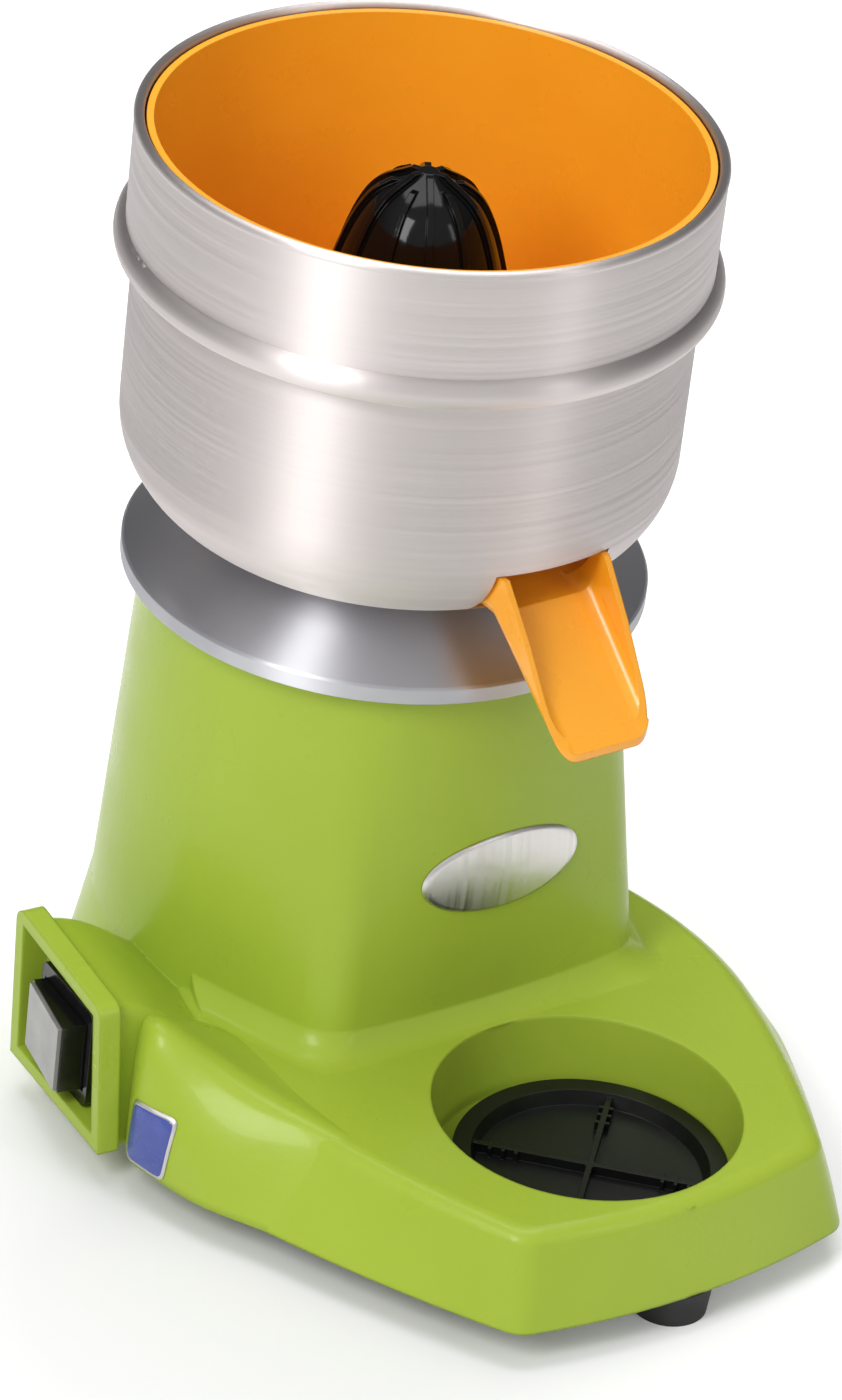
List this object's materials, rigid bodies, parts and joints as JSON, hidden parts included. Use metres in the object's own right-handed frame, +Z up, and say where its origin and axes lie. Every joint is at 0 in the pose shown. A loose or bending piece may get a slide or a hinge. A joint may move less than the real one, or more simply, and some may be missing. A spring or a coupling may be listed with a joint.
{
  "type": "citrus juicer",
  "caption": "Commercial electric citrus juicer: fluted cone spun by an upright motor in a steel bowl, with a pouring spout, drip tray and side rocker switch.",
  "frame": {"origin": "point on the counter on the motor's axis", "axes": "+Z up along the motor's axis, -Y towards the spout, +X to the right seen from the spout's side"},
  "size_m": [0.2603, 0.32, 0.3395],
  "materials": {
    "green_paint": "gloss",
    "polished_aluminium": "polished",
    "bowl_steel": "brushed",
    "orange_plastic": "gloss",
    "black_gloss": "gloss",
    "black_satin": "satin",
    "rocker_black": "gloss",
    "lens_smoke": "gloss",
    "foot_rubber": "matte",
    "plate_steel": "satin",
    "screw_steel": "satin",
    "shaft_steel": "polished",
    "motor_iron": "satin",
    "winding_copper": "satin",
    "cast_aluminium": "satin",
    "capacitor_white": "matte"
  },
  "bodies": {
    "base": {"body_casting": "green_paint", "base_plate": "plate_steel", "base_plate_screws": "screw_steel", "rubber_feet": "foot_rubber", "foot_screws": "screw_steel", "foot_nuts": "screw_steel", "motor_flange": "polished_aluminium", "flange_screws": "screw_steel", "shaft_seal": "foot_rubber", "upper_bearing": "shaft_steel", "lower_bearing": "shaft_steel", "stator_core": "motor_iron", "stator_winding": "winding_copper", "lower_end_shield": "cast_aluminium", "motor_tie_bolts": "screw_steel", "run_capacitor": "capacitor_white", "capacitor_clip": "plate_steel", "terminal_block": "capacitor_white", "cord_gland": "black_satin", "gland_nut": "black_satin", "switch_body": "black_satin", "switch_bezel": "rocker_black"},
    "rotor": {"motor_shaft": "shaft_steel", "rotor_core": "motor_iron", "rotor_end_rings": "cast_aluminium", "cooling_fan": "black_satin"},
    "bowl": {"steel_bowl": "bowl_steel", "juice_liner": "orange_plastic"},
    "strainer": {"strainer": "orange_plastic"},
    "cone_washer": {"cone_washer": "black_satin"},
    "cone": {"juicing_cone": "black_gloss"},
    "tray": {"drip_tray": "black_satin"},
    "rocker": {"switch_rocker": "rocker_black", "rocker_lens": "lens_smoke"}
  },
  "joints": [
    {"name": "motor_spin", "type": "hinge", "parent": "base", "child": "rotor", "pos_m": [0, 0, 0.1], "axis": [0, 0, 1], "continuous": true},
    {"name": "bowl_lift", "type": "slide", "parent": "base", "child": "bowl", "axis": [0, 0, 1], "range_m": [0, 0.12]},
    {"name": "strainer_lift", "type": "slide", "parent": "bowl", "child": "strainer", "axis": [0, 0, 1], "range_m": [0, 0.12]},
    {"name": "cone_lift", "type": "slide", "parent": "strainer", "child": "cone_washer", "axis": [0, 0, 1], "range_m": [0, 0.1]},
    {"name": "cone_spin", "type": "hinge", "parent": "cone_washer", "child": "cone", "pos_m": [0, 0, 0.26], "axis": [0, 0, 1], "continuous": true},
    {"name": "drip_tray_lift", "type": "slide", "parent": "base", "child": "tray", "axis": [0, 0, 1], "range_m": [0, 0.06]},
    {"name": "switch_rocker", "type": "hinge", "parent": "base", "child": "rocker", "pos_m": [-0.12821, -0.02497, 0.037], "axis": [0, 0, 1], "range_deg": [0, 16]}
  ],
  "couplings": [
    {"joint": "cone_spin", "follows": "motor_spin", "ratio": 1}
  ]
}
